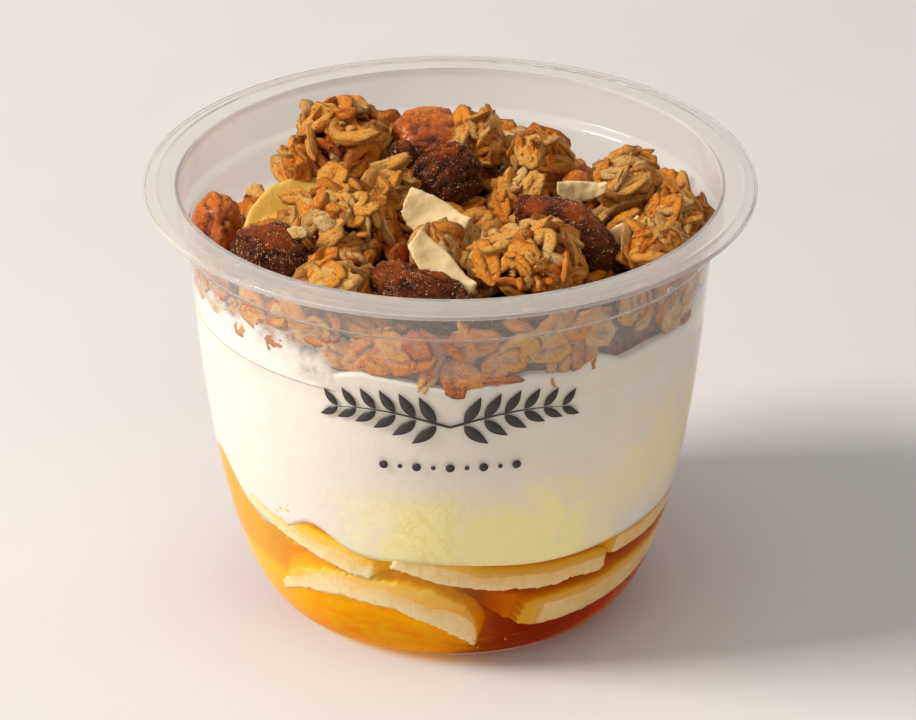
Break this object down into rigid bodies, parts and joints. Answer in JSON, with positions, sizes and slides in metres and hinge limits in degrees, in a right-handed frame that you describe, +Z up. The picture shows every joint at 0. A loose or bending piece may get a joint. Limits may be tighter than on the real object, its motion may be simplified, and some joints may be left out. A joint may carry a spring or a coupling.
{
  "type": "yogurt parfait",
  "caption": "Clear plastic pot of yogurt parfait: banana slices in honey, thick white yogurt, and a heap of granola, raisins and coconut shavings proud of the rim.",
  "frame": {"origin": "centre of the pot's flat base, on the surface it stands on", "axes": "+Z up along the pot's axis, +X to the right and -Y towards the front of the heap, where it is fullest"},
  "size_m": [0.101, 0.101, 0.0802],
  "materials": {
    "plastic": "clear thin moulded plastic, glossy, with a brighter rolled rim and ledge",
    "honey": "clear amber honey, brighter where thin, with small bubbles",
    "banana": "moist cut banana, pale cream with fine fibres, stained amber by honey",
    "yogurt": "thick smooth yogurt, warm white, yellow where honey has run into it",
    "granola": "honey-toasted rolled oats, golden flakes with dark gaps and pale crumbs",
    "raisin": "wrinkled dark raisin, dusted with tan sugar",
    "raisin_amber": "wrinkled amber sultana, glossy and a little translucent",
    "coconut": "thin cream coconut shaving with ragged edges",
    "banana_chip": "dried banana chip, soft yellow with faint specks"
  },
  "bodies": {
    "root": {"banana_chip": "banana_chip", "banana_slice_front": "banana", "banana_slice_left": "banana", "banana_slice_left_upper": "banana", "banana_slice_right": "banana", "banana_slice_right_lower": "banana", "coconut_shaving_back": "coconut", "coconut_shaving_edge": "coconut", "coconut_shaving_front": "coconut", "coconut_shaving_right": "coconut", "granola_back": "granola", "granola_back_left": "granola", "granola_back_right": "granola", "granola_bed": "granola", "granola_bit": "granola", "granola_centre": "granola", "granola_far_right": "granola", "granola_front": "granola", "granola_front_left": "granola", "granola_front_right": "granola", "granola_left": "granola", "granola_low_left": "granola", "granola_middle": "granola", "granola_rear": "granola", "granola_right": "granola", "honey": "honey", "pot": "plastic", "raisin_amber_back": "raisin_amber", "raisin_amber_left": "raisin_amber", "raisin_amber_small": "raisin_amber", "raisin_front": "raisin", "raisin_left": "raisin", "raisin_long": "raisin", "raisin_middle": "raisin", "raisin_nested": "raisin", "yogurt": "yogurt"}
  },
  "joints": []
}
